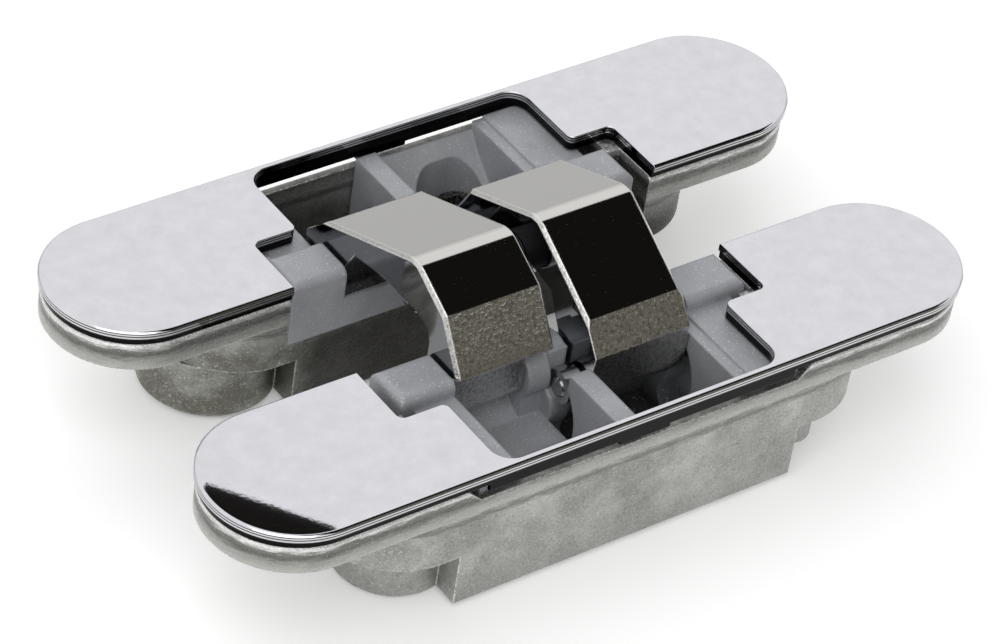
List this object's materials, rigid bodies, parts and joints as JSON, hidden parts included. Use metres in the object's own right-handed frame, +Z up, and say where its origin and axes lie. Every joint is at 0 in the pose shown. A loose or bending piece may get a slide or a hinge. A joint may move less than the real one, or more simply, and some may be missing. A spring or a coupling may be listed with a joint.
{
  "type": "concealed door hinge",
  "caption": "Concealed hinge for a flush door: slim leaves with a sliding carriage in each, joined by crossed arms that fold into the leaves as the door shuts.",
  "frame": {"origin": "middle of the hinge's outline in plan, at the underside of the two bodies", "axes": "+X along the leaves, +Y from the near leaf to the far leaf across the gap, +Z up out of the covers, with the hinge open at 180 degrees"},
  "size_m": [0.12, 0.0654, 0.0327],
  "materials": {
    "cover": "polished, bright chrome",
    "cast_body": "bare zinc die casting, mottled grey",
    "carriage": "silver-grey paint",
    "arm": "polished black chrome",
    "pin": "ground bright steel",
    "screw": "blackened steel",
    "shoe": "bright steel roller",
    "bush": "black sliding polymer",
    "plug": "black polymer"
  },
  "bodies": {
    "far_leaf": {"far_body": "cast_body", "far_cover": "cover", "far_cover_plugs": "plug", "far_clamp_screw": "screw"},
    "far_carriage": {"far_carriage": "carriage", "far_pivot_pin": "pin"},
    "right_arm": {"right_arm": "arm", "right_slide_pin": "pin", "right_slide_shoe_inner": "shoe", "right_slide_shoe_outer": "shoe", "far_pivot_bush_a": "bush", "far_pivot_bush_b": "bush", "right_cross_bush": "bush", "cross_pin": "pin", "cross_spacer": "bush"},
    "left_arm": {"left_arm": "arm", "left_slide_pin": "pin", "left_slide_shoe_inner": "shoe", "left_slide_shoe_outer": "shoe", "near_pivot_bush_a": "bush", "near_pivot_bush_b": "bush", "left_cross_bush": "bush"},
    "near_carriage": {"near_carriage": "carriage", "near_pivot_pin": "pin"},
    "near_leaf": {"near_body": "cast_body", "near_cover": "cover", "near_cover_plugs": "plug", "near_clamp_screw": "screw"}
  },
  "joints": [
    {"name": "far_height_adjust", "type": "slide", "parent": "far_leaf", "child": "far_carriage", "axis": [1, 0, 0], "range_m": [0, 0.003]},
    {"name": "far_pivot", "type": "hinge", "parent": "far_carriage", "child": "right_arm", "pos_m": [0.0087, 0.0117, 0.0159], "axis": [-1, 0, 0], "range_deg": [0, 104]},
    {"name": "cross_pivot", "type": "hinge", "parent": "right_arm", "child": "left_arm", "pos_m": [-0.002, 0, 0.0246], "axis": [-1, 0, 0], "range_deg": [-28, 0]},
    {"name": "near_pivot", "type": "hinge", "parent": "left_arm", "child": "near_carriage", "pos_m": [-0.0127, -0.0117, 0.0159], "axis": [-1, 0, 0], "range_deg": [0, 104]},
    {"name": "near_height_adjust", "type": "slide", "parent": "near_carriage", "child": "near_leaf", "axis": [1, 0, 0], "range_m": [-0.001, 0.002]}
  ],
  "couplings": [
    {"joint": "cross_pivot", "follows": "far_pivot", "ratio": -0.26905},
    {"joint": "near_pivot", "follows": "far_pivot", "ratio": 1}
  ]
}
